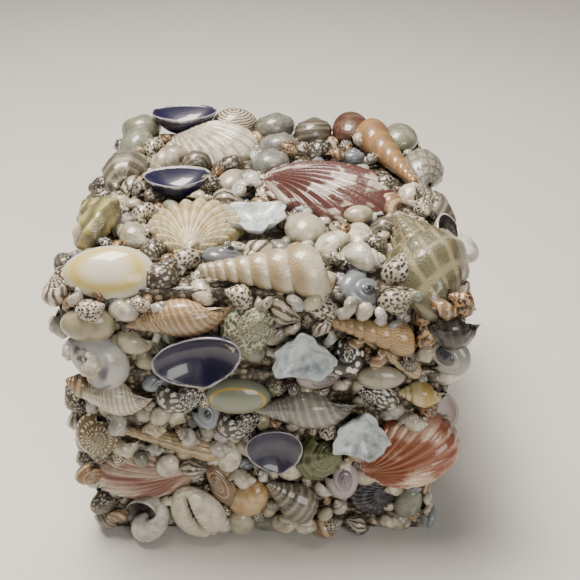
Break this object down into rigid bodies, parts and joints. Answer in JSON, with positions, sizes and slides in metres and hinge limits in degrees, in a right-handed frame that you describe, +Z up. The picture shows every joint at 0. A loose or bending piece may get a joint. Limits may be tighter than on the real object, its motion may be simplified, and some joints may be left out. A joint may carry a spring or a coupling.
{
  "type": "shell box",
  "caption": "Small wooden keepsake box with a deep lift-off lid, covered all over in glued and varnished sea shells.",
  "frame": {"origin": "middle of the wooden box's underside", "axes": "+Z up through the lid, -Y towards the front, +X to the right of someone who faces the front"},
  "size_m": [0.1197, 0.121, 0.1067],
  "materials": {
    "wood": "sanded, bare inside, hidden under the shells outside",
    "white_shell": "natural sea shell under clear gloss varnish",
    "cream_shell": "natural sea shell under clear gloss varnish",
    "tan_shell": "natural sea shell under clear gloss varnish",
    "brown_shell": "natural sea shell under clear gloss varnish",
    "red_shell": "natural sea shell under clear gloss varnish",
    "orange_shell": "natural sea shell under clear gloss varnish",
    "purple_shell": "natural sea shell under clear gloss varnish",
    "grey_shell": "natural sea shell under clear gloss varnish",
    "black_shell": "natural sea shell under clear gloss varnish",
    "green_shell": "natural sea shell under clear gloss varnish",
    "mixed_small_shells": "small natural sea shells bedded in glue, under clear gloss varnish"
  },
  "bodies": {
    "root": {"box_body": "wood", "lid": "wood", "cream_auger_shell": "cream_shell", "gold_ring_cowrie": "white_shell", "brown_whelk_shell": "tan_shell", "lid_purple_clam_shell": "purple_shell", "zigzag_nerite_shell": "grey_shell", "cream_bubble_shell": "cream_shell", "rough_turban_shell": "green_shell", "lid_white_limpet_shell": "white_shell", "spotted_black_nerite_shell": "black_shell", "brown_auger_shell": "tan_shell", "thin_auger_shell": "cream_shell", "grey_button_shell": "grey_shell", "black_whelk_shell": "black_shell", "cream_fan_cockle_shell": "cream_shell", "top_white_limpet_shell": "white_shell", "beige_dome_shell": "cream_shell", "red_scallop_shell": "red_shell", "white_cockle_shell": "cream_shell", "top_purple_clam_shell": "purple_shell", "back_purple_clam_shell": "purple_shell", "orange_turret_shell": "orange_shell", "dark_cone_shell": "brown_shell", "grey_moon_shell": "grey_shell", "grey_dome_shell": "grey_shell", "green_frog_shell": "green_shell", "white_mouthed_moon_shell": "white_shell", "grey_murex_shell": "grey_shell", "netted_barrel_shell": "grey_shell", "yellow_turban_shell": "green_shell", "rough_grey_whelk_shell": "grey_shell", "grey_green_dome_shell": "green_shell", "striped_whelk_shell": "cream_shell", "gold_line_cowrie": "green_shell", "grey_ribbed_whelk_shell": "grey_shell", "orange_scallop_shell": "orange_shell", "box_white_limpet_shell": "white_shell", "box_purple_clam_shell": "purple_shell", "green_turban_shell": "green_shell", "beaded_top_shell": "brown_shell", "long_cream_auger_shell": "cream_shell", "pink_striped_scallop_shell": "cream_shell", "box_white_moon_shell": "white_shell", "toothed_cowrie": "cream_shell", "ribbed_cone_shell": "grey_shell", "grey_cockle_shell": "grey_shell", "left_side_scallop_shell": "cream_shell", "right_side_scallop_shell": "red_shell", "back_scallop_shell": "orange_shell", "lid_top_small_shells": "mixed_small_shells", "lid_front_small_shells": "mixed_small_shells", "lid_back_small_shells": "mixed_small_shells", "lid_left_small_shells": "mixed_small_shells", "lid_right_small_shells": "mixed_small_shells", "box_front_small_shells": "mixed_small_shells", "box_back_small_shells": "mixed_small_shells", "box_left_small_shells": "mixed_small_shells", "box_right_small_shells": "mixed_small_shells"}
  },
  "joints": []
}
